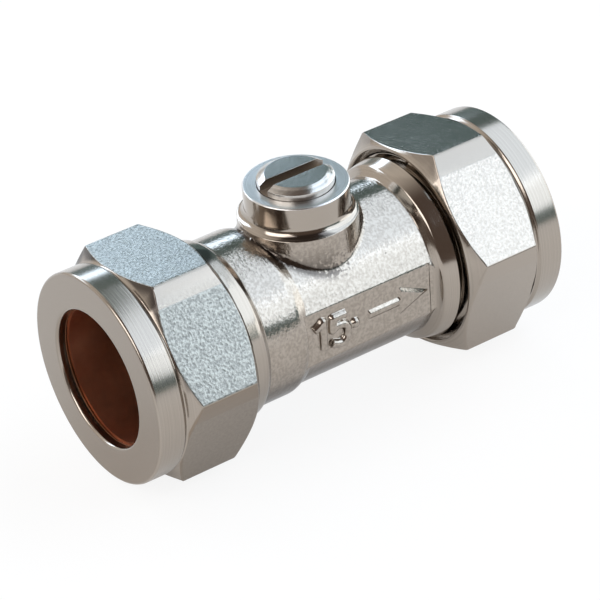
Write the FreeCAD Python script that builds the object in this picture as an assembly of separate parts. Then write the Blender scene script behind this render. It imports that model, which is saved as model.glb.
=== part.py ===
"""Isolating valve for copper pipe: a plated brass ball valve with a compression nut at each end.

The pipe runs along X with the inlet at -X, the slotted stem stands up along Z, and the valve lies
on its nuts at Z = 0. All lengths are in millimetres and all angles in degrees.
"""
import math
import os

import FreeCAD
import Part

# Pipe joint, measured at the radius unless the name says diameter
pipe_diameter = 15.0
socket_clearance = 0.10
olive_clearance = 0.05
nut_pipe_clearance = 0.15
socket_depth = 7.63
socket_wall = 2.85
mouth_flare = 1.70
seat_gap = 0.05

# Outer thread and the turned ends of the body
thread_length = 5.20
thread_chamfer = 0.80
thread_clearance = 0.10
relief_width = 1.00
relief_wall = 1.85
collar_width = 1.80
collar_fall = 0.45
shoulder_length = 0.70

# Forged middle of the body
body_wall = 1.90
flat_wall = 1.50
cheek_angle = 60.0
cheek_kink = 2.0
neck_length = 4.33
neck_step = 0.50
neck_slope = 1.25
flat_overrun = 0.55
flat_end_radius = 1.20

# Ball and seats
ball_diameter = 13.80
waterway_diameter = 9.00
port_clearance = 0.10
ball_clearance = 0.10
chamber_clearance = 0.15
seat_backing = 0.50
seat_length = 3.20
fit_gap = 0.05
retainer_length = 2.75
key_slot_width = 3.00
key_slot_depth = 1.20

# Stem and its boss
stem_diameter = 8.26
stem_clearance = 0.07
flange_overhang = 0.87
flange_clearance = 0.10
flange_lift = 0.30
flange_thickness = 1.00
washer_thickness = 0.60
stem_bearing_length = 4.60
head_height = 1.20
head_chamfer_width = 0.85
head_chamfer_height = 0.50
driver_slot_width = 1.40
driver_slot_depth = 1.15
tang_thickness = 3.00
tang_width = 7.60
tang_depth = 1.70
tang_clearance = 0.10
o_ring_section = 1.00
o_ring_gap = 0.05
o_ring_side_gap = 0.10
boss_wall = 1.48
boss_edge_chamfer = 0.12
boss_base_wall = 1.35
boss_base_height = 1.10
boss_waist_height = 1.30
boss_draft_angle = 2.0
boss_foot_fillet = 0.95

# Olives
olive_length = 6.60
olive_wall = 1.15
olive_tip_wall = 0.37

# Nuts
nut_wall = 0.95
nut_length = 12.54
nut_lip = 1.10
nut_cone_height = 2.35
nut_corner_trim = 0.08
nut_collar_length = 3.03
nut_collar_lip = 0.26
nut_groove_width = 0.47
nut_groove_depth = 0.22
nut_edge_chamfer = 0.22
nut_front_angle = 30.0
nut_back_angle = 35.0
nut_back_land = 0.25
nut_countersink = 0.62
inlet_nut_turn = 5.4
outlet_nut_turn = 11.6

# Radii that follow from the sizes above
socket_radius = pipe_diameter / 2 + socket_clearance
mouth_radius = socket_radius + mouth_flare
thread_radius = socket_radius + socket_wall
relief_radius = socket_radius + relief_wall
ball_radius = ball_diameter / 2
waterway_radius = waterway_diameter / 2
port_radius = waterway_radius + port_clearance
chamber_radius = ball_radius + chamber_clearance
middle_radius = chamber_radius + body_wall
neck_radius = middle_radius + neck_step
flat_distance = chamber_radius + flat_wall
stem_radius = stem_diameter / 2
stem_hole_radius = stem_radius + stem_clearance
flange_radius = stem_radius + flange_overhang
counterbore_radius = flange_radius + flange_clearance
boss_radius = stem_hole_radius + boss_wall
boss_base_radius = counterbore_radius + boss_base_wall
olive_bore_radius = pipe_diameter / 2 + olive_clearance
olive_radius = olive_bore_radius + olive_wall
olive_tip_radius = olive_bore_radius + olive_tip_wall
nut_bore_radius = pipe_diameter / 2 + nut_pipe_clearance
nut_thread_radius = thread_radius + thread_clearance
nut_flat_distance = nut_thread_radius + nut_wall
nut_corner_radius = nut_flat_distance / math.cos(math.radians(30)) - nut_corner_trim
nut_collar_radius = nut_flat_distance + nut_collar_lip
nut_groove_radius = nut_flat_distance - nut_groove_depth

# Stations along the pipe, measured outwards from the stem's axis
seat_back = ball_radius + seat_backing
pipe_stop = seat_back + fit_gap + retainer_length
socket_mouth = pipe_stop + socket_depth
body_end = socket_mouth + mouth_flare
thread_start = body_end - thread_length
collar_outer = thread_start - relief_width
collar_inner = collar_outer - collar_width
shoulder_foot = collar_inner - shoulder_length
neck_end = shoulder_foot - neck_length
olive_back = socket_mouth + olive_tip_radius - socket_radius + seat_gap
olive_front = olive_back + olive_length
nut_cone_tip = olive_front + olive_tip_radius - nut_bore_radius + seat_gap
nut_face = nut_cone_tip + nut_lip
nut_back = nut_face - nut_length

# Heights along the stem, measured up from the pipe's axis
tang_bottom = ball_radius - tang_depth
flange_bottom = ball_radius + flange_lift
flange_top = flange_bottom + flange_thickness
counterbore_top = flange_top + washer_thickness + 2 * fit_gap
boss_top = counterbore_top + stem_bearing_length
head_top = boss_top + head_height
boss_base_top = counterbore_top + boss_base_height
o_ring_groove_width = o_ring_section + 2 * o_ring_side_gap
o_ring_land = (stem_bearing_length - 2 * o_ring_groove_width) / 3

CENTRE = FreeCAD.Vector(0, 0, 0)
PIPE_AXIS = FreeCAD.Vector(1, 0, 0)
STEM_AXIS = FreeCAD.Vector(0, 0, 1)


def turned_on_pipe(outline):
    """A solid turned about the pipe's axis from (station, radius) points."""
    corners = [FreeCAD.Vector(station, 0, radius) for station, radius in outline]
    face = Part.Face(Part.makePolygon(corners + corners[:1]))
    return face.revolve(CENTRE, PIPE_AXIS, 360)


def turned_on_stem(outline):
    """A solid turned about the stem's axis from (radius, height) points."""
    corners = [FreeCAD.Vector(radius, 0, height) for radius, height in outline]
    face = Part.Face(Part.makePolygon(corners + corners[:1]))
    return face.revolve(CENTRE, STEM_AXIS, 360)


def block(low, high):
    """A box between two opposite corners."""
    size = [top - bottom for bottom, top in zip(low, high)]
    return Part.makeBox(*size, FreeCAD.Vector(*low))


def end_for_end(shape):
    """The same piece at the inlet end."""
    return shape.copy().rotate(CENTRE, STEM_AXIS, 180)


def body_blank():
    """The body's outside without its boss: threaded ends, collars, the round neck and the slimmer middle."""
    def threaded_end(side):
        return [
            (side * body_end, 0),
            (side * body_end, thread_radius - thread_chamfer),
            (side * (body_end - thread_chamfer), thread_radius),
            (side * thread_start, thread_radius),
            (side * thread_start, relief_radius),
            (side * collar_outer, relief_radius),
            (side * collar_outer, thread_radius),
            (side * collar_inner, thread_radius - collar_fall),
        ]

    neck = [
        (-shoulder_foot, neck_radius),
        (-neck_end, neck_radius),
        (neck_slope - neck_end, middle_radius),
        (shoulder_foot, middle_radius),
    ]
    return turned_on_pipe(threaded_end(-1) + neck + threaded_end(1)[::-1])


def side_flat_tool(side):
    """What is taken off one side of the middle, run out towards the outlet in a round corner."""
    low = (neck_slope / 2 - neck_end, flat_distance, -thread_radius)
    high = (shoulder_foot + flat_overrun, 2 * thread_radius, thread_radius)
    tool = block(low, high)
    inner_end = [
        edge for edge in tool.Edges
        if abs(edge.CenterOfMass.x - high[0]) < fit_gap and abs(edge.CenterOfMass.y - low[1]) < fit_gap
    ]
    tool = tool.makeFillet(flat_end_radius, inner_end)
    return tool if side > 0 else tool.mirror(CENTRE, FreeCAD.Vector(0, 1, 0))


def cheek_blank(side):
    """The straight cheeks from the middle's round top and bottom to one side flat, before that flat is cut."""
    angle = math.radians(cheek_angle)
    distance = middle_radius * math.cos(math.radians(cheek_kink))
    inner_side = distance * math.sin(angle)
    inner_height = distance * math.cos(angle)
    outer_side = flat_distance + flat_overrun
    outer_height = inner_height - (outer_side - inner_side) * math.tan(angle)
    start = neck_slope / 2 - neck_end
    corners = [
        (inner_side, inner_height),
        (outer_side, outer_height),
        (outer_side, -outer_height),
        (inner_side, -inner_height),
    ]
    points = [FreeCAD.Vector(start, side * across, height) for across, height in corners]
    face = Part.Face(Part.makePolygon(points + points[:1]))
    return face.extrude(PIPE_AXIS * (shoulder_foot + flat_overrun - start))


def boss_outline():
    """The stem's boss: a turned neck that sweeps out to a ledge above the drafted, forged base."""
    waist_top = boss_base_top + boss_waist_height
    ledge = boss_base_radius - boss_radius
    foot_radius = boss_base_radius + boss_base_top * math.tan(math.radians(boss_draft_angle))
    top_edge = FreeCAD.Vector(boss_radius - boss_edge_chamfer, 0, boss_top)
    side_top = FreeCAD.Vector(boss_radius, 0, boss_top - boss_edge_chamfer)
    sweep_top = FreeCAD.Vector(boss_radius, 0, waist_top)
    sweep_middle = FreeCAD.Vector(boss_radius + ledge / 4, 0, boss_base_top + boss_waist_height / 3)
    sweep_end = FreeCAD.Vector(boss_base_radius, 0, boss_base_top)
    foot = FreeCAD.Vector(foot_radius, 0, 0)
    straight = [(CENTRE, FreeCAD.Vector(0, 0, boss_top)), (FreeCAD.Vector(0, 0, boss_top), top_edge)]
    straight += [(top_edge, side_top), (side_top, sweep_top)]
    edges = [Part.makeLine(start, end) for start, end in straight]
    edges.append(Part.Arc(sweep_top, sweep_middle, sweep_end).toShape())
    edges += [Part.makeLine(sweep_end, foot), Part.makeLine(foot, CENTRE)]
    return Part.Face(Part.Wire(edges)).revolve(CENTRE, STEM_AXIS, 360)


def boss_blank():
    """The boss on the round bar between the shoulders, with the fillet that the forging leaves there."""
    bar_end = FreeCAD.Vector(-shoulder_foot, 0, 0)
    bar = Part.makeCylinder(middle_radius, 2 * shoulder_foot, bar_end, PIPE_AXIS)
    joined = bar.fuse(boss_outline()).removeSplitter()
    foot = [edge for edge in joined.Edges if isinstance(edge.Curve, Part.BSplineCurve)]
    return joined.makeFillet(boss_foot_fillet, foot)


def pipe_bore_tool():
    """The way through the body: two flared sockets, the inlet's port and the ball's chamber."""
    return turned_on_pipe([
        (-body_end, 0),
        (-body_end, mouth_radius),
        (-socket_mouth, socket_radius),
        (-pipe_stop, socket_radius),
        (-pipe_stop, port_radius),
        (-seat_back, port_radius),
        (-seat_back, chamber_radius),
        (pipe_stop, chamber_radius),
        (pipe_stop, socket_radius),
        (socket_mouth, socket_radius),
        (body_end, mouth_radius),
        (body_end, 0),
    ])


def stem_bore_tool():
    """The stem's hole down the boss, wider below for the washer and the flange."""
    return turned_on_stem([
        (0, 0),
        (counterbore_radius, 0),
        (counterbore_radius, counterbore_top),
        (stem_hole_radius, counterbore_top),
        (stem_hole_radius, boss_top),
        (0, boss_top),
    ])


def valve_body():
    """The one-piece body."""
    body = body_blank().fuse(boss_blank())
    for side in (-1, 1):
        body = body.fuse(cheek_blank(side)).cut(side_flat_tool(side))
    return body.cut(pipe_bore_tool()).cut(stem_bore_tool()).removeSplitter()


def ball():
    """The ball, open at rest: the waterway lies along the pipe and the tang's slot across it."""
    slot_floor = tang_bottom - tang_clearance
    slot_half = tang_thickness / 2 + tang_clearance
    ball_end = FreeCAD.Vector(-ball_radius, 0, 0)
    waterway = Part.makeCylinder(waterway_radius, ball_diameter, ball_end, PIPE_AXIS)
    slot = block((-slot_half, -ball_radius, slot_floor), (slot_half, ball_radius, ball_radius))
    return Part.makeSphere(ball_radius).cut(waterway).cut(slot)


def outlet_seat():
    """A seal ring, hollowed to the ball."""
    ring = turned_on_pipe([
        (seat_back, port_radius),
        (seat_back, chamber_radius - fit_gap),
        (seat_back - seat_length, chamber_radius - fit_gap),
        (seat_back - seat_length, port_radius),
    ])
    return ring.cut(Part.makeSphere(ball_radius + ball_clearance))


def seat_retainer():
    """The ring that holds the ball and its seats in, with two key slots in its outer face."""
    ring = turned_on_pipe([
        (seat_back + fit_gap, port_radius),
        (seat_back + fit_gap, chamber_radius - fit_gap),
        (pipe_stop, chamber_radius - fit_gap),
        (pipe_stop, port_radius),
    ])
    low = (pipe_stop - key_slot_depth, -chamber_radius, -key_slot_width / 2)
    high = (pipe_stop, chamber_radius, key_slot_width / 2)
    return ring.cut(block(low, high))


def o_ring_groove_bottom(count):
    """Height of the lower side of a seal groove, counted from the lowest."""
    return counterbore_top + o_ring_land + count * (o_ring_groove_width + o_ring_land)


def stem():
    """The stem: tang, flange, shank with two seal grooves, and the chamfered head with its slot."""
    head = turned_on_stem([
        (0, flange_bottom),
        (flange_radius, flange_bottom),
        (flange_radius, flange_top),
        (stem_radius, flange_top),
        (stem_radius, head_top - head_chamfer_height),
        (stem_radius - head_chamfer_width, head_top),
        (0, head_top),
    ])
    tang_low = (-tang_thickness / 2, -tang_width / 2, tang_bottom)
    tang_high = (tang_thickness / 2, tang_width / 2, flange_bottom)
    shape = head.fuse(block(tang_low, tang_high)).removeSplitter()
    groove_radius = stem_hole_radius - o_ring_section - 2 * o_ring_gap
    for count in range(2):
        bottom = o_ring_groove_bottom(count)
        top = bottom + o_ring_groove_width
        shape = shape.cut(turned_on_stem([
            (groove_radius, bottom),
            (stem_hole_radius, bottom),
            (stem_hole_radius, top),
            (groove_radius, top),
        ]))
    slot_low = (-stem_diameter, -driver_slot_width / 2, head_top - driver_slot_depth)
    slot_high = (stem_diameter, driver_slot_width / 2, head_top)
    return shape.cut(block(slot_low, slot_high))


def o_ring(count):
    """A round rubber ring in its groove."""
    height = o_ring_groove_bottom(count) + o_ring_groove_width / 2
    ring_radius = stem_hole_radius - o_ring_gap - o_ring_section / 2
    return Part.makeTorus(ring_radius, o_ring_section / 2, FreeCAD.Vector(0, 0, height), STEM_AXIS)


def stem_washer():
    """The flat washer that the flange turns against."""
    bottom = flange_top + fit_gap
    return turned_on_stem([
        (stem_hole_radius, bottom),
        (flange_radius, bottom),
        (flange_radius, bottom + washer_thickness),
        (stem_hole_radius, bottom + washer_thickness),
    ])


def outlet_olive():
    """The copper ring, tapered at both ends to the nut's cone and the body's mouth."""
    taper = olive_wall - olive_tip_wall
    return turned_on_pipe([
        (olive_back, olive_bore_radius),
        (olive_back, olive_tip_radius),
        (olive_back + taper, olive_radius),
        (olive_front - taper, olive_radius),
        (olive_front, olive_tip_radius),
        (olive_front, olive_bore_radius),
    ])


def nut_blank():
    """The turned outside of the nut, before the hexagon is cut."""
    back_rise = nut_corner_radius - nut_flat_distance + nut_back_land
    front_rise = nut_corner_radius - nut_groove_radius
    collar_back = nut_face - nut_collar_length
    groove_back = collar_back - nut_groove_width
    return turned_on_pipe([
        (nut_back, 0),
        (nut_back, nut_flat_distance - nut_back_land),
        (nut_back + back_rise * math.tan(math.radians(nut_back_angle)), nut_corner_radius),
        (groove_back - front_rise * math.tan(math.radians(nut_front_angle)), nut_corner_radius),
        (groove_back, nut_groove_radius),
        (collar_back - nut_groove_width / 2, nut_groove_radius),
        (collar_back, nut_collar_radius),
        (nut_face - nut_edge_chamfer, nut_collar_radius),
        (nut_face, nut_collar_radius - nut_edge_chamfer),
        (nut_face, 0),
    ])


def nut_bore_tool():
    """The nut's inside: countersink, thread bore, the cone that squeezes the olive, and the pipe's hole."""
    cone_radius = nut_bore_radius + nut_cone_height
    cone_back = nut_cone_tip - nut_cone_height
    return turned_on_pipe([
        (nut_back, 0),
        (nut_back, nut_thread_radius + nut_countersink),
        (nut_back + nut_countersink, nut_thread_radius),
        (cone_back, nut_thread_radius),
        (cone_back, cone_radius),
        (nut_cone_tip, nut_bore_radius),
        (nut_face - nut_edge_chamfer, nut_bore_radius),
        (nut_face, nut_bore_radius + nut_edge_chamfer),
        (nut_face, 0),
    ])


def hexagon_bar():
    """A hexagon bar with a corner to each side, and room for the turned collar beyond it."""
    corner = nut_flat_distance / math.cos(math.radians(30))
    angles = [math.radians(60 * count) for count in range(7)]
    points = [FreeCAD.Vector(nut_back, -corner * math.cos(a), corner * math.sin(a)) for a in angles]
    collar_back = nut_face - nut_collar_length - nut_groove_width / 2
    bar = Part.Face(Part.makePolygon(points)).extrude(PIPE_AXIS * (collar_back - nut_back))
    collar = Part.makeCylinder(
        nut_collar_radius, nut_face - collar_back, FreeCAD.Vector(collar_back, 0, 0), PIPE_AXIS)
    return bar.fuse(collar)


def nut(turn):
    """A nut at the outlet end, turned about the pipe towards the top of its near side."""
    shape = nut_blank().common(hexagon_bar()).cut(nut_bore_tool()).removeSplitter()
    return shape.rotate(CENTRE, PIPE_AXIS, -turn)


def nut_drop(turn):
    """How far a nut reaches below the pipe's axis at its turn."""
    corner_angle = math.degrees(math.acos(nut_flat_distance / nut_corner_radius))
    return nut_corner_radius * math.cos(math.radians(corner_angle - turn))


axis_height = max(nut_drop(inlet_nut_turn), nut_drop(outlet_nut_turn))

pieces = {
    "valve_body": valve_body(),
    "inlet_nut": end_for_end(nut(-inlet_nut_turn)),
    "outlet_nut": nut(outlet_nut_turn),
    "inlet_olive": end_for_end(outlet_olive()),
    "outlet_olive": outlet_olive(),
    "ball": ball(),
    "inlet_seat": end_for_end(outlet_seat()),
    "outlet_seat": outlet_seat(),
    "seat_retainer": seat_retainer(),
    "stem": stem(),
    "lower_o_ring": o_ring(0),
    "upper_o_ring": o_ring(1),
    "stem_washer": stem_washer(),
}

os.makedirs("parts", exist_ok=True)
for name, shape in pieces.items():
    shape.translate(FreeCAD.Vector(0, 0, axis_height))
    shape.exportStep(f"parts/{name}.step")
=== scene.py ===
import math

import bpy
from mathutils import Matrix, Vector


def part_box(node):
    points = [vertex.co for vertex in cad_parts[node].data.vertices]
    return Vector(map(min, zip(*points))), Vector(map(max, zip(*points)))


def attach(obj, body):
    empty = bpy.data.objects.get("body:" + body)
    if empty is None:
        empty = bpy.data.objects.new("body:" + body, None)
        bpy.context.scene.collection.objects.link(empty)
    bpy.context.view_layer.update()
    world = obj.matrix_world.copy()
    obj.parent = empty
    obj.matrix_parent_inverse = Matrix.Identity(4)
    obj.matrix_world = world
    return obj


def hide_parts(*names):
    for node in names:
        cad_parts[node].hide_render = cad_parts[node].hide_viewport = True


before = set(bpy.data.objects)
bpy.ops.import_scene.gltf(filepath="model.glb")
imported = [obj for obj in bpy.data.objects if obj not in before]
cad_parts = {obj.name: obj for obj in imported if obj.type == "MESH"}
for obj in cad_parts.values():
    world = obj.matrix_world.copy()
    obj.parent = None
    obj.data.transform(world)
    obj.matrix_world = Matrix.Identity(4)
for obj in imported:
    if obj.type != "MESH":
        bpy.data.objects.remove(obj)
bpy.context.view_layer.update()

# Valve body. One brass forging with its boss for the stem, turned and threaded at both ends.
# It is nickel plated all over: the forged skin stays pebbly under the plating, and the collars,
# the threads and the boss's rim are smooth from the lathe.
mm = 0.001
olive_low, olive_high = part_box("outlet_olive")
pipe_axis = (olive_low + olive_high) / 2
pipe_axis.x = 0
full_turn = 2 * math.pi
weld_distance = 0.002 * mm


def work_on(piece):
    """Makes a piece the only one selected."""
    bpy.ops.object.select_all(action="DESELECT")
    piece.select_set(True)
    bpy.context.view_layer.objects.active = piece


def use(piece, kind, **settings):
    """Applies one modifier to a piece."""
    work_on(piece)
    modifier = piece.modifiers.new(kind.lower(), kind)
    for name, value in settings.items():
        setattr(modifier, name, value)
    bpy.ops.object.modifier_apply(modifier=modifier.name)


def close_up(piece):
    """Welds a piece's doubled points, fills its open ends and turns its faces outwards."""
    work_on(piece)
    bpy.ops.object.mode_set(mode="EDIT")
    bpy.ops.mesh.select_all(action="SELECT")
    bpy.ops.mesh.remove_doubles(threshold=weld_distance)
    bpy.ops.mesh.fill_holes(sides=0)
    bpy.ops.mesh.select_all(action="SELECT")
    bpy.ops.mesh.normals_make_consistent(inside=False)
    bpy.ops.object.mode_set(mode="OBJECT")


def break_edges(piece, width, sharp_angle):
    """Rounds a piece's sharp edges, with a width in millimetres and an angle in degrees."""
    use(piece, "BEVEL", width=width * mm, segments=2, limit_method="ANGLE", use_clamp_overlap=False,
        angle_limit=math.radians(sharp_angle), miter_outer="MITER_ARC")


def smooth_faces(piece, smooth_angle):
    """Shades a piece's round faces smooth and keeps its large faces flat."""
    work_on(piece)
    bpy.ops.object.shade_smooth_by_angle(angle=math.radians(smooth_angle))
    use(piece, "WEIGHTED_NORMAL", keep_sharp=True)


def place_on_pipe(piece, end_for_end):
    """Puts a piece that was made about the origin on the pipe's axis, turned end for end if asked."""
    piece.rotation_euler = (0, 0, math.pi if end_for_end else 0)
    piece.location = pipe_axis
    work_on(piece)
    bpy.ops.object.transform_apply(location=True, rotation=True, scale=True)


def copy_of(piece, name):
    """A copy with its own mesh."""
    twin = bpy.data.objects.new(name, piece.data.copy())
    bpy.context.scene.collection.objects.link(twin)
    return twin


def merged_copy(node):
    """A new piece from a CAD node's mesh, its triangles welded and its flat faces in one."""
    flat_angle = math.radians(0.2)
    piece = copy_of(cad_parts[node], f"plated_{node}")
    piece.data.materials.clear()
    work_on(piece)
    bpy.ops.object.mode_set(mode="EDIT")
    bpy.ops.mesh.select_all(action="SELECT")
    bpy.ops.mesh.customdata_custom_splitnormals_clear()
    bpy.ops.mesh.remove_doubles(threshold=weld_distance)
    bpy.ops.mesh.dissolve_limited(angle_limit=flat_angle)
    bpy.ops.object.mode_set(mode="OBJECT")
    return piece


def outline_of(name, points):
    """A closed outline of edges in the upright plane along the pipe, its points in millimetres."""
    corners = [Vector((station, 0, height)) * mm for station, height in points]
    bpy.ops.object.select_all(action="DESELECT")
    bpy.ops.mesh.primitive_plane_add(size=mm, location=corners[0])
    piece = bpy.context.object
    piece.name = name
    bpy.ops.object.transform_apply(location=True, rotation=True, scale=True)
    bpy.ops.object.mode_set(mode="EDIT")
    bpy.ops.mesh.select_mode(type="VERT")
    bpy.ops.mesh.select_all(action="SELECT")
    bpy.ops.mesh.merge(type="CENTER")
    for start, end in zip(corners, corners[1:] + corners[:1]):
        bpy.ops.mesh.extrude_region_move(TRANSFORM_OT_translate={"value": end - start})
    bpy.ops.mesh.select_all(action="SELECT")
    bpy.ops.mesh.remove_doubles(threshold=weld_distance)
    bpy.ops.object.mode_set(mode="OBJECT")
    return piece


thread_pitch = 1.814
thread_side_angle = 27.5
thread_slope = math.tan(math.radians(thread_side_angle))
thread_start = 14.05
thread_steps = 72


def thread_coil(name, tip, tip_width, base, first_station, last_station):
    """A wound bar of a thread's shape, with its tip and its base at these radii."""
    turns = (last_station - first_station) / thread_pitch
    base_width = tip_width + 2 * abs(base - tip) * thread_slope
    coil = outline_of(name, [
        (first_station - tip_width / 2, tip),
        (first_station + tip_width / 2, tip),
        (first_station + base_width / 2, base),
        (first_station - base_width / 2, base),
    ])
    steps = round(turns * thread_steps)
    use(coil, "SCREW", axis="X", angle=turns * full_turn, screw_offset=turns * thread_pitch * mm,
        steps=steps, render_steps=steps, use_smooth_shade=False)
    close_up(coil)
    return coil


def round_edges(piece, wanted, width, segments):
    """Gives those edges of a piece whose two ends are wanted a larger round, its width in millimetres."""
    work_on(piece)
    bpy.ops.object.mode_set(mode="EDIT")
    bpy.ops.mesh.select_mode(type="EDGE")
    bpy.ops.mesh.select_all(action="DESELECT")
    bpy.ops.object.mode_set(mode="OBJECT")
    corners = piece.data.vertices
    for edge in piece.data.edges:
        start, end = (corners[corner].co for corner in edge.vertices)
        edge.select = wanted(start, end)
    bpy.ops.object.mode_set(mode="EDIT")
    bpy.ops.mesh.bevel(offset=width * mm, segments=segments, affect="EDGES", clamp_overlap=False)
    bpy.ops.object.mode_set(mode="OBJECT")


def at_station(start, end, station):
    """Whether an edge runs round the pipe at a station, at either end of the valve."""
    near = 0.02
    return all(abs(abs(point.x) / mm - station) < near for point in (start, end))


neck_end = 6.50


def on_inlet_neck(start, end):
    """Whether an edge runs round the end of the neck on the inlet side."""
    return at_station(start, end, neck_end) and start.x < 0


flat_side = 8.55


def on_crease(start, end):
    """Whether an edge is one of the lines where a side flat meets the cheeks above and below it."""
    crease_height = 3.08
    near = 0.05
    for point in (start, end):
        from_axis = (point - pipe_axis) / mm
        if abs(abs(from_axis.y) - flat_side) > near or abs(abs(from_axis.z) - crease_height) > near:
            return False
    return True


body = merged_copy("valve_body")
neck_round = 0.40
collar_inner = 11.53
collar_inner_round = 0.16
collar_outer = 13.33
collar_outer_round = 0.20
crease_round = 0.20
body_edge = 0.05
body_sharp_angle = 24
body_smooth_angle = 14
round_edges(body, on_inlet_neck, neck_round, segments=4)
round_edges(body, lambda start, end: at_station(start, end, collar_inner), collar_inner_round, segments=3)
round_edges(body, lambda start, end: at_station(start, end, collar_outer), collar_outer_round, segments=3)
round_edges(body, on_crease, crease_round, segments=4)
break_edges(body, body_edge, body_sharp_angle)
groove_root = 9.47
groove_root_width = 0.24
groove_top = 10.75
groove_end = 20.4
for end_for_end in (False, True):
    groove = thread_coil(
        "thread_groove", groove_root, groove_root_width, groove_top, thread_start, groove_end)
    place_on_pipe(groove, end_for_end)
    use(body, "BOOLEAN", operation="DIFFERENCE", object=groove, solver="EXACT")
    bpy.data.objects.remove(groove)
smooth_faces(body, body_smooth_angle)


class Socket:
    """One socket of a finish's nodes. Sums and products of sockets add the Math nodes they need."""

    def __init__(self, socket):
        self.socket = socket

    def node(self, kind, settings, values, output=0):
        """Adds a node of a kind to the same finish, sets and links it, and gives one of its outputs."""
        tree = self.socket.id_data
        added = tree.nodes.new(kind)
        for name, value in settings.items():
            setattr(added, name, value)
        for name, value in values.items():
            if isinstance(value, Socket):
                tree.links.new(value.socket, added.inputs[name])
            else:
                added.inputs[name].default_value = value
        return Socket(added.outputs[output]) if added.outputs else None

    def math(self, operation, first, second=0.0):
        """Adds a Math node."""
        return self.node("ShaderNodeMath", {"operation": operation}, {0: first, 1: second})

    def __add__(self, other):
        return self.math("ADD", self, other)

    def __sub__(self, other):
        return self.math("SUBTRACT", self, other)

    def __rsub__(self, other):
        return self.math("SUBTRACT", other, self)

    def __mul__(self, other):
        return self.math("MULTIPLY", self, other)

    def __pow__(self, other):
        return self.math("POWER", self, other)

    def __abs__(self):
        return self.math("ABSOLUTE", self)

    __radd__ = __add__
    __rmul__ = __mul__


def start_finish(name):
    """A new material, and the place on its piece in millimetres from where pipe and stem axes cross."""
    material = bpy.data.materials.new(name)
    material.use_nodes = True
    material.node_tree.nodes.clear()
    coordinates = material.node_tree.nodes.new("ShaderNodeTexCoord")
    place = Socket(coordinates.outputs["Object"])
    place = place.node("ShaderNodeVectorMath", {"operation": "SUBTRACT"}, {0: place, 1: pipe_axis})
    place = place.node("ShaderNodeVectorMath", {"operation": "SCALE"}, {0: place, "Scale": 1 / mm})
    return material, place


def end_finish(place, height, values):
    """Joins a finish's values to its shader, with the height in millimetres as bump."""
    bump = place.node("ShaderNodeBump", {}, {"Height": height, "Distance": mm, "Strength": 1.0})
    shader = place.node("ShaderNodeBsdfPrincipled", {}, {"Normal": bump, **values})
    place.node("ShaderNodeOutputMaterial", {}, {"Surface": shader})


def parts_of(place):
    """The three distances of a place."""
    return [place.node("ShaderNodeSeparateXYZ", {}, {0: place}, axis) for axis in "XYZ"]


def cloud(place, size, detail=2.0):
    """Soft blotches of about a size, from 0 to 1."""
    values = {"Vector": place, "Scale": 1 / size, "Detail": detail}
    return place.node("ShaderNodeTexNoise", {}, values, "Fac")


def lines(distance, width, detail=1.0):
    """Random lathe lines of about a width, from 0 to 1."""
    values = {"W": distance, "Scale": 1 / width, "Detail": detail}
    return distance.node("ShaderNodeTexNoise", {"noise_dimensions": "1D"}, values, "Fac")


def rise(value, low, high):
    """A soft step, 0 below low and 1 above high."""
    settings = {"interpolation_type": "SMOOTHSTEP"}
    values = {"Value": value, "From Min": low, "From Max": high}
    return value.node("ShaderNodeMapRange", settings, values)


def blend(share, first, second):
    """The first colour, or the second where the share is 1. A Mix node's colour sockets go by number."""
    first_colour = 6
    second_colour = 7
    mixed_colour = 2
    values = {"Factor": share, first_colour: first, second_colour: second}
    return share.node("ShaderNodeMix", {"data_type": "RGBA"}, values, mixed_colour)


def stretched(place, shares):
    """A place with its distances cut to shares, so that what is drawn there gets longer that way."""
    return place.node("ShaderNodeVectorMath", {"operation": "MULTIPLY"}, {0: place, 1: shares})


bright_nickel = (0.405, 0.355, 0.305, 1)
dull_nickel = (0.315, 0.272, 0.23, 1)
faced_nickel_light = (0.66, 0.64, 0.62, 1)
faced_nickel_dark = (0.50, 0.48, 0.46, 1)
# The dark colour of the forging's pits, also used as painted shade on the body and on the nuts' upper
# chamfers.
pits_and_painted_shade_colour = (0.06, 0.05, 0.045, 1)

# A pair is a soft step of the finish: where it begins, and where it is full.
turned_end_step = (10.75, 10.95)
turned_boss_step = (9.9, 10.1)
boss_face_step = (13.3, 13.4)
foot_inner_step = (6.45, 6.6)
foot_outer_step = (6.9, 7.6)
foot_height_step = (4.0, 5.0)
foot_shade_step = (0.58, 0.76)
foot_shade_side_step = (-2.5, 2.0)
ledge_top_step = (10.35, 10.55)
ledge_front_step = (5.35, 5.75)
underside_step = (2.9, 4.6)
pit_step = (0.80, 0.84)
patch_step = (0.36, 0.64)
pebble_size = 0.32
pebble_height = 0.016
pebble_share = 0.7
streak_size = 0.26
streak_stretch = (1.0, 0.35, 0.35)
streak_height = 0.020
lump_size = 0.7
lump_height = 0.012
wave_size = 2.6
wave_height = 0.03
pit_size = 0.45
pit_detail = 1.0
pit_depth = 0.03
foot_shade_size = 0.40
foot_shade_detail = 3.0
foot_shade_side_share = 0.30
foot_patch_dip = 0.008
foot_shade_share = 0.8
front_way = (-0.45, -0.89)
ledge_shade_share = 0.8
underside_shade_share = 0.55
end_line_width = 0.10
boss_line_width = 0.12
line_height = 0.003
face_line_height = 0.006
forged_blur = 0.17
turned_gloss = 0.03
boss_face_blur = 0.16
forged_plating, place = start_finish("forged_plating")
x, y, z = parts_of(place)
from_stem = (x * x + y * y) ** 0.5
turned_end = rise(abs(x), *turned_end_step)
turned_boss = rise(z, *turned_boss_step)
turned = turned_end.math("MAXIMUM", turned_end, turned_boss)
forged = 1 - turned
boss_face = rise(z, *boss_face_step)
pebbles = cloud(place, pebble_size)
streaks = cloud(stretched(place, streak_stretch), streak_size)
lumps = cloud(place, lump_size)
waves = cloud(place, wave_size)
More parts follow.
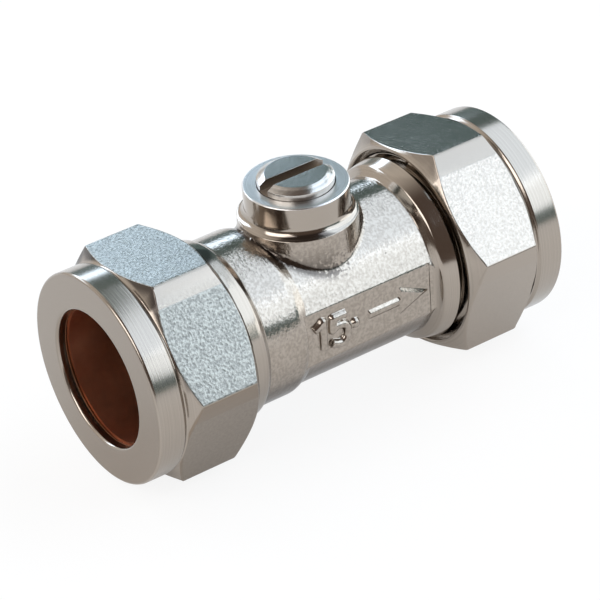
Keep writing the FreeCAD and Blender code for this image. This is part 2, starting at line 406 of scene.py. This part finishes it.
pits = rise(cloud(place, pit_size, pit_detail), *pit_step)
# Ragged patches of painted shade in the recess round the boss's foot, heavier on the left side; they dip a
# little too.
boss_foot = rise(from_stem, *foot_inner_step) * (1 - rise(from_stem, *foot_outer_step))
boss_foot = boss_foot * rise(z, *foot_height_step) * forged
foot_shade_cloud = cloud(place, foot_shade_size, foot_shade_detail) + foot_shade_side_share * rise(0 - x, *foot_shade_side_step)
scale = boss_foot * rise(foot_shade_cloud, *foot_shade_step)
# Painted shade on the ledge at the boss's foot, only on its front, the side towards the camera.
towards_front = x * front_way[0] + y * front_way[1]
ledge = turned_boss * (1 - rise(z, *ledge_top_step)) * rise(towards_front, *ledge_front_step)
# Painted shade, darker towards the bottom of the forging.
underside = rise(0 - z, *underside_step) * forged
marks = lines(x, end_line_width) * turned_end + lines(from_stem, boss_line_width) * turned_boss
skin = pebbles * pebble_height + streaks * streak_height + lumps * lump_height
skin = skin + waves * wave_height - pits * pit_depth
height = forged * skin - scale * foot_patch_dip + marks * (line_height + face_line_height * boss_face)
patches = rise(pebbles * pebble_share + streaks * (1 - pebble_share), *patch_step) * forged
plated = blend(patches + marks * turned, dull_nickel, bright_nickel)
plated = blend(boss_face, plated, blend(marks, faced_nickel_dark, faced_nickel_light))
# Dark pits of the forged skin, and painted shade at the boss's foot, on the ledge's front and underneath.
pits_and_painted_shade = pits * forged + foot_shade_share * scale + ledge_shade_share * ledge + underside_shade_share * underside
end_finish(place, height, {
    "Base Color": blend(pits_and_painted_shade.math("MINIMUM", pits_and_painted_shade, 1.0), plated, pits_and_painted_shade_colour),
    "Roughness": forged_blur - turned_gloss * turned + boss_face_blur * boss_face,
    "Metallic": 1.0,
})
body.data.materials.append(forged_plating)

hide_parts("valve_body")
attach(body, "body")

# Flow signs. The pipe size, a dot and an arrow for the way of the water stand up from the near flat.
# They are forged in one with the body, so they have soft edges and the body's own plating.
sign_height = 0.52
stroke_width = 1.0
figure_one = [(-4.75, 1.05), (-4.1, 1.35), (-3.62, 1.75), (-3.6, 1.75), (-3.6, 0.4), (-3.6, -1.6)]
figure_five = [
    (-0.62, 1.62), (-2.3, 1.62), (-2.35, 1.62), (-2.45, 0.2), (-2.42, 0.2), (-1.7, 0.65),
    (-0.45, 0.25), (-0.5, -1.3), (-1.6, -1.95), (-2.6, -1.35),
]
signs = []
for stroke in (figure_one, figure_five):
    bpy.ops.object.select_all(action="DESELECT")
    bpy.ops.curve.primitive_nurbs_path_add()
    bead = bpy.context.object
    bead.data.splines.clear()
    line = bead.data.splines.new("NURBS")
    line.points.add(len(stroke) - 1)
    for point, (across, up) in zip(line.points, stroke):
        point.co = (across * mm, 0, up * mm, 1)
    line.order_u = 3
    line.use_endpoint_u = True
    bead.data.bevel_depth = stroke_width / 2 * mm
    bead.data.bevel_resolution = 4
    bead.data.use_fill_caps = True
    bpy.ops.object.convert(target="MESH")
    bead.scale.y = sign_height / (stroke_width / 2)
    signs.append(bead)


def select_faces(piece, wanted):
    """Goes into edit mode with only those faces of a piece selected whose middle is wanted."""
    work_on(piece)
    bpy.ops.object.mode_set(mode="EDIT")
    bpy.ops.mesh.select_mode(type="FACE")
    bpy.ops.mesh.select_all(action="DESELECT")
    bpy.ops.object.mode_set(mode="OBJECT")
    for face in piece.data.polygons:
        face.select = wanted(face.center)
    bpy.ops.object.mode_set(mode="EDIT")


arrow_outline = [
    (2.25, -0.52), (6.35, -0.52), (6.35, -1.65), (10.35, -0.05), (6.45, 1.8), (6.35, 0.62), (2.25, 0.62),
]
arrow_slope = 0.36
arrow_height = 0.28
arrow_lean = 0.20
arrow_root = 0.3
arrow = outline_of("arrow", arrow_outline)
work_on(arrow)
bpy.ops.object.mode_set(mode="EDIT")
bpy.ops.mesh.select_all(action="SELECT")
bpy.ops.mesh.edge_face_add()
bpy.ops.mesh.extrude_region_move(TRANSFORM_OT_translate={"value": (0, arrow_root * mm, 0)})
bpy.ops.object.mode_set(mode="OBJECT")
close_up(arrow)
select_faces(arrow, lambda middle: middle.y < weld_distance)
bpy.ops.mesh.inset(thickness=arrow_slope * mm, depth=arrow_height * mm)
bpy.ops.transform.translate(value=(-arrow_lean * mm, 0, 0))
bpy.ops.object.mode_set(mode="OBJECT")
signs.append(arrow)

dot_radius = 0.58
dot_place = Vector((0.55, 0, -0.1)) * mm
bpy.ops.object.select_all(action="DESELECT")
bpy.ops.mesh.primitive_uv_sphere_add(
    segments=32, ring_count=16, radius=dot_radius * mm, location=dot_place)
dot = bpy.context.object
dot.scale.y = sign_height / dot_radius
signs.append(dot)

ground_low = Vector((-5.6, 0.04, -2.7)) * mm
ground_high = Vector((10.9, 0.5, 2.5)) * mm
bpy.ops.object.select_all(action="DESELECT")
bpy.ops.mesh.primitive_cube_add(size=1, location=(ground_low + ground_high) / 2)
ground = bpy.context.object
ground.scale = ground_high - ground_low
signs.append(ground)

soft_grain = 0.075
soft_rounds = 10
sign_root = 0.02
bpy.ops.object.select_all(action="DESELECT")
for sign in signs:
    sign.select_set(True)
bpy.ops.object.transform_apply(location=True, rotation=True, scale=True)
bpy.context.view_layer.objects.active = arrow
bpy.ops.object.join()
flow_signs = bpy.context.object
flow_signs.name = "flow_signs"
use(flow_signs, "REMESH", mode="VOXEL", voxel_size=soft_grain * mm)
use(flow_signs, "SMOOTH", factor=0.5, iterations=soft_rounds)
bpy.ops.object.mode_set(mode="EDIT")
bpy.ops.mesh.select_all(action="SELECT")
bpy.ops.mesh.bisect(plane_co=(0, sign_root * mm, 0), plane_no=(0, 1, 0), threshold=weld_distance,
                    use_fill=True, clear_outer=True)
bpy.ops.object.mode_set(mode="OBJECT")
close_up(flow_signs)
bpy.ops.object.shade_smooth()
flow_signs.location = pipe_axis + Vector((0, -flat_side, 0)) * mm
bpy.ops.object.transform_apply(location=True, rotation=True, scale=True)
flow_signs.data.materials.clear()
flow_signs.data.materials.append(forged_plating)
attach(flow_signs, "body")

# Compression nuts. Each is turned from hexagon brass bar: six flats with chamfered ends, a groove,
# a round collar and a thread inside, by which it is screwed onto the body.
# They are barrel plated, which leaves the flats frosted and the turned faces satin.
along_pipe = Vector((1, 0, 0))
nut_back = 13.68
mouth_edge = 11.17
back_edge = 11.25
back_chamfer_end = 15.15
nut_corner = 13.35
front_chamfer_start = 21.52
groove_back = 22.72
groove_radius = 11.46
collar_seam = 22.95
collar_back = 23.19
collar_radius = 11.76
rim_start = 26.0
nut_face = 26.22
face_edge = 11.54
bore_edge = 7.87
nut_bore = 7.65
lip_end = 25.12
cone_end = 22.77
cone_radius = 10.0
nut_thread_bore = 10.55
mouth_end = 14.30
round_steps = 144
nut = outline_of("nut", [
    (nut_back, mouth_edge),
    (nut_back, back_edge),
    (back_chamfer_end, nut_corner),
    (front_chamfer_start, nut_corner),
    (groove_back, groove_radius),
    (collar_seam, groove_radius),
    (collar_back, collar_radius),
    (rim_start, collar_radius),
    (nut_face, face_edge),
    (nut_face, bore_edge),
    (rim_start, nut_bore),
    (lip_end, nut_bore),
    (cone_end, cone_radius),
    (cone_end, nut_thread_bore),
    (mouth_end, nut_thread_bore),
])
work_on(nut)
bpy.ops.object.mode_set(mode="EDIT")
bpy.ops.mesh.select_all(action="SELECT")
bpy.ops.mesh.spin(steps=round_steps, angle=full_turn, center=(0, 0, 0), axis=along_pipe)
bpy.ops.object.mode_set(mode="OBJECT")
close_up(nut)


def cut_flat(piece, angle, distance):
    """Cuts a nut's hexagon end flat, facing an angle from upright, at a distance from the axis."""
    outward = Vector((0, math.sin(angle), math.cos(angle)))
    select_faces(piece, lambda middle: abs(middle.x) < collar_seam * mm)
    bpy.ops.mesh.bisect(plane_co=pipe_axis + outward * distance * mm, plane_no=outward,
                        threshold=weld_distance, use_fill=True, clear_outer=True)
    bpy.ops.object.mode_set(mode="OBJECT")


def on_corner(start, end):
    """Whether an edge is one of the hexagon's long corners."""
    shortest = 3.0
    least_radius = 12.6
    across = start - pipe_axis
    across.x = 0
    return abs(start.x - end.x) > shortest * mm and across.length > least_radius * mm


nut_flat = 11.5
flat_count = 6
flat_step = full_turn / flat_count
trim_tilt = math.radians(3.5)
trim_start = 4.3
trim_distance = nut_flat * math.cos(trim_tilt) + trim_start * math.sin(trim_tilt)
ridge_crest = 9.62
ridge_crest_width = 0.2
ridge_root = 10.62
ridge_end = 22.1
corner_round = 0.30
nut_edge = 0.12
nut_sharp_angle = 20
nut_smooth_angle = 25

worn_face = (0.29, 0.25, 0.21, 1)
worn_face_share = 0.7
trim_blur = 0.1
trim_step = (trim_start - trim_blur, trim_start + trim_blur)
near_flat_step = (11.2, 11.3)
on_flat_step = (11.40, 11.47)
hexagon_end_step = (22.6, 22.7)
face_step = (26.1, 26.2)
upper_step = (-0.1, 0.2)
chamfer_facing_step = (0.3, 0.6)
chamfer_radius_step = (11.6, 11.9)
chamfer_shade_step = (10.0, 11.2)
chamfer_shade_facing_step = (0.1, 0.35)
frost_step = (0.3, 0.7)
frost_size = 0.30
frost_detail = 3.0
fog_size = 2.2
fog_blur = 0.06
trim_cleared = 0.85
lower_frost = 0.2
collar_line_width = 0.14
face_line_width = 0.16
satin_blur = 0.19
# Per nut: its turn, which way it faces, its frost, the painted shade of its downward flats and of its
# upper chamfers.
nut_looks = {
    "inlet_nut": {
        "turn": math.radians(5.4),
        "end_for_end": True,
        "frost_height": 0.046,
        "frost_blur": 0.07,
        "frost_dark": (0.21, 0.205, 0.188, 1),
        "frost_light": (0.37, 0.36, 0.325, 1),
        "lower_flat_shade": (0.25, 0.20, 0.155, 1),
        "chamfer_shade": 0.9,
    },
    "outlet_nut": {
        "turn": math.radians(11.6),
        "end_for_end": False,
        "frost_height": 0.022,
        "frost_blur": -0.10,
        "frost_dark": (0.305, 0.268, 0.232, 1),
        "frost_light": (0.38, 0.335, 0.29, 1),
        "lower_flat_shade": (0.36, 0.31, 0.262, 1),
        "chamfer_shade": 0.3,
    },
}
for name, look in nut_looks.items():
    piece = copy_of(nut, f"plated_{name}")
    place_on_pipe(piece, look["end_for_end"])
    ridge = thread_coil(
        "ridge", ridge_crest, ridge_crest_width, ridge_root, thread_start + thread_pitch, ridge_end)
    place_on_pipe(ridge, look["end_for_end"])
    use(piece, "BOOLEAN", operation="UNION", object=ridge, solver="EXACT")
    bpy.data.objects.remove(ridge)
    turn = look["turn"]
    for count in range(flat_count):
        cut_flat(piece, turn + full_turn * count / flat_count, nut_flat)
    trimmed_flats = [turn - flat_step, turn - 2 * flat_step]
    for flat_angle in trimmed_flats:
        cut_flat(piece, flat_angle + trim_tilt, trim_distance)
    close_up(piece)
    round_edges(piece, on_corner, corner_round, segments=3)
    break_edges(piece, nut_edge, nut_sharp_angle)
    smooth_faces(piece, nut_smooth_angle)

    plating, place = start_finish(f"{name}_plating")
    x, y, z = parts_of(place)
    from_axis = (y * y + z * z) ** 0.5
    above_flat = z * math.cos(turn) + y * math.sin(turn)
    along_flat = y * math.cos(turn) - z * math.sin(turn)
    hexagon = abs(above_flat)
    for side in (-1, 1):
        slant = abs(above_flat * math.cos(flat_step) + along_flat * (side * math.sin(flat_step)))
        hexagon = hexagon.math("MAXIMUM", hexagon, slant)
    trimmed = 0
    for flat_angle in trimmed_flats:
        out_of_flat = z * math.cos(flat_angle) + y * math.sin(flat_angle)
        up_flat = y * math.cos(flat_angle) - z * math.sin(flat_angle)
        trimmed = trimmed + rise(up_flat, *trim_step) * rise(out_of_flat, *near_flat_step)
    facing_x, _, facing_z = parts_of(place.node("ShaderNodeTexCoord", {}, {}, "Normal"))
    upper = rise(facing_z, *upper_step)
    hexagon_end = 1 - rise(abs(x), *hexagon_end_step)
    # The flats that face down are painted a darker shade and carry little frost.
    lower_flats = rise(hexagon, *near_flat_step) * hexagon_end * (1 - upper)
    on_flats = rise(hexagon, *on_flat_step) * hexagon_end * (1 - trim_cleared * trimmed)
    on_flats = on_flats * (lower_frost + (1 - lower_frost) * upper)
    on_face = rise(abs(x), *face_step)
    frost = cloud(place, frost_size, frost_detail)
    fog = cloud(place, fog_size)
    marks = lines(x, collar_line_width) * (1 - on_face) + lines(from_axis, face_line_width) * on_face
    height = on_flats * frost * look["frost_height"] + (1 - on_flats) * (1 - trimmed) * marks * line_height
    frosted = blend(rise(frost, *frost_step), look["frost_dark"], look["frost_light"])
    satin = blend(marks * (1 - trimmed), dull_nickel, bright_nickel)
    satin = blend(worn_face_share * on_face, satin, worn_face)
    satin = blend(lower_flats, satin, look["lower_flat_shade"])
    # Painted shade on the chamfers that face upwards, darkest towards the flats; each nut has its own
    # share of it.
    chamfers = rise(abs(facing_x), *chamfer_facing_step) * rise(from_axis, *chamfer_radius_step)
    shaded_chamfers = chamfers * rise(hexagon, *chamfer_shade_step) * rise(facing_z, *chamfer_shade_facing_step)
    satin = blend(look["chamfer_shade"] * shaded_chamfers, satin, pits_and_painted_shade_colour)
    end_finish(place, height, {
        "Base Color": blend(on_flats, satin, frosted),
        "Roughness": satin_blur + on_flats * (look["frost_blur"] + fog_blur * fog),
        "Metallic": 1.0,
    })
    piece.data.materials.clear()
    piece.data.materials.append(plating)
    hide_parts(name)
    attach(piece, name)
bpy.data.objects.remove(nut)

# Stem. A turned and plated brass spindle with a slot across its head for a screwdriver.
# It is put into the boss from inside the body, and the tang at its foot turns the ball.
stem = merged_copy("stem")
stem_edge = 0.03
stem_sharp_angle = 24
stem_smooth_angle = 20
break_edges(stem, stem_edge, stem_sharp_angle)
smooth_faces(stem, stem_smooth_angle)
head_dark = (0.32, 0.30, 0.28, 1)
head_light = (0.60, 0.57, 0.53, 1)
slot_brown = (0.26, 0.20, 0.15, 1)
slot_side_step = (0.69, 0.72)
slot_floor_step = (13.4, 13.5)
slot_top_step = (14.60, 14.68)
head_line_width = 0.26
head_line_height = 0.006
speck_size = 0.34
speck_height = 0.008
speck_share = 0.5
head_blur = 0.20
slot_blur = 0.2
stem_plating, place = start_finish("stem_plating")
x, y, z = parts_of(place)
from_stem = (x * x + y * y) ** 0.5
in_slot = (1 - rise(abs(y), *slot_side_step)) * (1 - rise(z, *slot_top_step)) * rise(z, *slot_floor_step)
marks = lines(from_stem, head_line_width)
specks = cloud(place, speck_size)
faced = blend(marks * (1 - speck_share) + specks * speck_share, head_dark, head_light)
end_finish(place, marks * head_line_height + specks * speck_height, {
    "Base Color": blend(in_slot, faced, slot_brown),
    "Roughness": head_blur + slot_blur * in_slot,
    "Metallic": 1.0,
})
stem.data.materials.append(stem_plating)
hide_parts("stem")
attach(stem, "stem")

# Olives. Two soft copper rings, turned from tube, one at the mouth of each pipe socket.
# The nut squeezes its olive onto the pipe, which holds the pipe and keeps the water in.
copper_light = (0.82, 0.43, 0.28, 1)
copper_dark = (0.66, 0.31, 0.19, 1)
tarnish_size = 1.5
tarnish_detail = 3.0
tarnish_height = 0.01
tarnish_blur = 0.1
copper_blur = 0.28
copper_line_width = 0.15
copper_line_height = 0.006
copper, place = start_finish("olive_copper")
tarnish = cloud(place, tarnish_size, tarnish_detail)
marks = lines(parts_of(place)[0], copper_line_width)
end_finish(place, marks * copper_line_height + tarnish * tarnish_height, {
    "Base Color": blend(tarnish, copper_light, copper_dark),
    "Roughness": copper_blur + tarnish_blur * tarnish,
    "Metallic": 1.0,
})
for name in ("inlet_olive", "outlet_olive"):
    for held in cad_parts[name].material_slots:
        held.material = copper

# Inner pieces. A plated brass ball turns between two white plastic seats, held by a brass ring screwed in.
# A white washer and two rubber rings on the stem keep the water in.
nickel = (0.365, 0.318, 0.272, 1)
plastic_light = (0.80, 0.79, 0.76, 1)
plastic_dark = (0.72, 0.71, 0.67, 1)
brass_dark = (0.62, 0.45, 0.20, 1)
brass_light = (0.72, 0.54, 0.27, 1)
rubber_dark = (0.018, 0.018, 0.019, 1)
rubber_light = (0.03, 0.03, 0.032, 1)
ball_mottle = 0.5
ball_height = 0.004
ball_blur = (0.10, 0.08)
plastic_mottle = 0.6
plastic_height = 0.01
plastic_blur = (0.45, 0.1)
brass_line_width = 0.12
brass_height = 0.004
brass_blur = (0.22, 0.1)
rubber_mottle = 0.3
rubber_height = 0.01
rubber_blur = (0.5, 0.1)


def plain_finish(place, mottle, height, blur, colours, metallic):
    """A finish of two close colours that follow a mottle, as its bump and its blur do."""
    end_finish(place, mottle * height, {
        "Base Color": blend(mottle, *colours),
        "Roughness": blur[0] + blur[1] * mottle,
        "Metallic": metallic,
    })


ball_plating, place = start_finish("ball_plating")
mottle = cloud(place, ball_mottle)
plain_finish(place, mottle, ball_height, ball_blur, (nickel, bright_nickel), 1.0)
seal_plastic, place = start_finish("seal_plastic")
mottle = cloud(place, plastic_mottle)
plain_finish(place, mottle, plastic_height, plastic_blur, (plastic_light, plastic_dark), 0.0)
bare_brass, place = start_finish("bare_brass")
marks = lines(parts_of(place)[0], brass_line_width)
plain_finish(place, marks, brass_height, brass_blur, (brass_dark, brass_light), 1.0)
rubber, place = start_finish("black_rubber")
mottle = cloud(place, rubber_mottle)
plain_finish(place, mottle, rubber_height, rubber_blur, (rubber_dark, rubber_light), 0.0)
for material, names in (
        (ball_plating, ["ball"]), (seal_plastic, ["inlet_seat", "outlet_seat", "stem_washer"]),
        (bare_brass, ["seat_retainer"]), (rubber, ["lower_o_ring", "upper_o_ring"])):
    for name in names:
        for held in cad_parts[name].material_slots:
            held.material = material

# Studio. The valve lies on a sheet of white paper, in a room with a pale far wall and darker near ones.
# Boxes of cloth with lamps in them stand round it, and the metal mirrors them.
# The camera looks down at the inlet end from the near left.
floor_size = 8
paper_light = (0.96, 0.93, 0.90, 1)
paper_dark = (0.95, 0.92, 0.89, 1)
paper_white = (1, 1, 1, 1)
fibre_size = 3.0
fibre_detail = 3.0
paper_blur = 0.9
seen_white = 0.88
mirrored_white = 0.3
bpy.ops.object.select_all(action="DESELECT")
bpy.ops.mesh.primitive_plane_add(size=floor_size, location=(0, 0, 0))
floor = bpy.context.object
floor.name = "floor"
paper, place = start_finish("floor_paper")
fibres = cloud(place, fibre_size, fibre_detail)
sheet = place.node("ShaderNodeBsdfPrincipled", {}, {
    "Base Color": blend(fibres, paper_light, paper_dark),
    "Roughness": paper_blur,
})
looked_at = place.node("ShaderNodeLightPath", {}, {}, "Is Camera Ray")
mirrored = place.node("ShaderNodeLightPath", {}, {}, "Is Glossy Ray")
through = place.node("ShaderNodeLightPath", {}, {}, "Is Transmission Ray")
white = place.node("ShaderNodeEmission", {}, {"Color": paper_white, "Strength": 1.0})
share_of_white = seen_white * looked_at + mirrored_white * (mirrored + through)
lifted = place.node("ShaderNodeMixShader", {}, {0: share_of_white, 1: sheet, 2: white})
place.node("ShaderNodeOutputMaterial", {}, {"Surface": lifted})
floor.data.materials.append(paper)

near_wall = (0.16, 0.12, 0.10, 1)
far_wall = (0.95, 0.90, 0.84, 1)
right_wall = (0.17, 0.25, 0.26, 1)
far_wall_step = (-0.2, 0.6)
right_wall_step = (0.16, 0.42)
world = bpy.data.worlds.new("studio")
bpy.context.scene.world = world
world.use_nodes = True
world.node_tree.nodes.clear()
view_way = Socket(world.node_tree.nodes.new("ShaderNodeTexCoord").outputs["Generated"])
x, y, _ = parts_of(view_way)
left_wall = blend(rise(y, *far_wall_step), near_wall, far_wall)
walls = blend(rise(x, *right_wall_step), left_wall, right_wall)
room = view_way.node("ShaderNodeBackground", {}, {"Color": walls, "Strength": 1.0})
view_way.node("ShaderNodeOutputWorld", {}, {"Surface": room})


def soft_box(name, turn, width, lift, height, brightness, colour):
    """A lamp behind cloth, a metre from the valve and facing it: its place and size as angles seen from
    there, in degrees, and how bright it looks."""
    watts_for_white = 4
    flat = Vector((math.sin(math.radians(turn)), math.cos(math.radians(turn)), 0))
    towards = flat * math.cos(math.radians(lift)) + Vector((0, 0, math.sin(math.radians(lift))))
    lamp = bpy.data.lights.new(name, "AREA")
    lamp.shape = "RECTANGLE"
    lamp.size = 2 * math.tan(math.radians(width / 2))
    lamp.size_y = 2 * math.tan(math.radians(height / 2))
    lamp.energy = watts_for_white * lamp.size * lamp.size_y * brightness
    lamp.color = colour
    holder = bpy.data.objects.new(name, lamp)
    bpy.context.scene.collection.objects.link(holder)
    holder.location = pipe_axis + towards
    holder.rotation_euler = (-towards).to_track_quat("-Z", "Y").to_euler()


daylight = (0.79, 1.0, 1.27)
cool_white = (0.86, 1.0, 1.2)
pale_white = (0.89, 1.0, 1.14)
near_white = (0.95, 1.0, 1.05)
plain_white = (1.0, 1.0, 1.0)
soft_box("window_behind", turn=-1.6, width=62, lift=25.5, height=13, brightness=2.9, colour=daylight)
soft_box("front_box", turn=112, width=86, lift=28, height=28, brightness=1.9, colour=pale_white)
soft_box("upper_box", turn=104, width=77, lift=55, height=26, brightness=1.6, colour=cool_white)
soft_box("near_box", turn=258, width=46, lift=38, height=30, brightness=2.8, colour=plain_white)
soft_box("low_card", turn=92, width=66, lift=6, height=16, brightness=2.0, colour=near_white)

camera_turn = math.radians(-33.64)
camera_rise = math.radians(32.78)
camera_roll = math.radians(-3.86)
camera_distance = 336.98 * mm
camera_shift = (-0.32 * mm, -1.08 * mm)
focal_pixels = 3154.59
picture_pixels = 600
sensor_width = 36.0
back = Vector((
    math.sin(camera_turn) * math.cos(camera_rise),
    -math.cos(camera_turn) * math.cos(camera_rise),
    math.sin(camera_rise),
))
level = Vector((math.cos(camera_turn), math.sin(camera_turn), 0))
upright = back.cross(level)
right = math.cos(camera_roll) * level + math.sin(camera_roll) * upright
up = math.cos(camera_roll) * upright - math.sin(camera_roll) * level
bpy.ops.object.camera_add()
camera = bpy.context.object
camera.data.sensor_width = sensor_width
camera.data.lens = focal_pixels / picture_pixels * sensor_width
facing = Matrix((right, up, back)).transposed().to_4x4()
camera_place = pipe_axis + back * camera_distance + right * camera_shift[0] + up * camera_shift[1]
camera.matrix_world = Matrix.Translation(camera_place) @ facing
camera.data.clip_start = mm
bpy.context.scene.camera = camera

bpy.context.scene.view_settings.view_transform = "Standard"
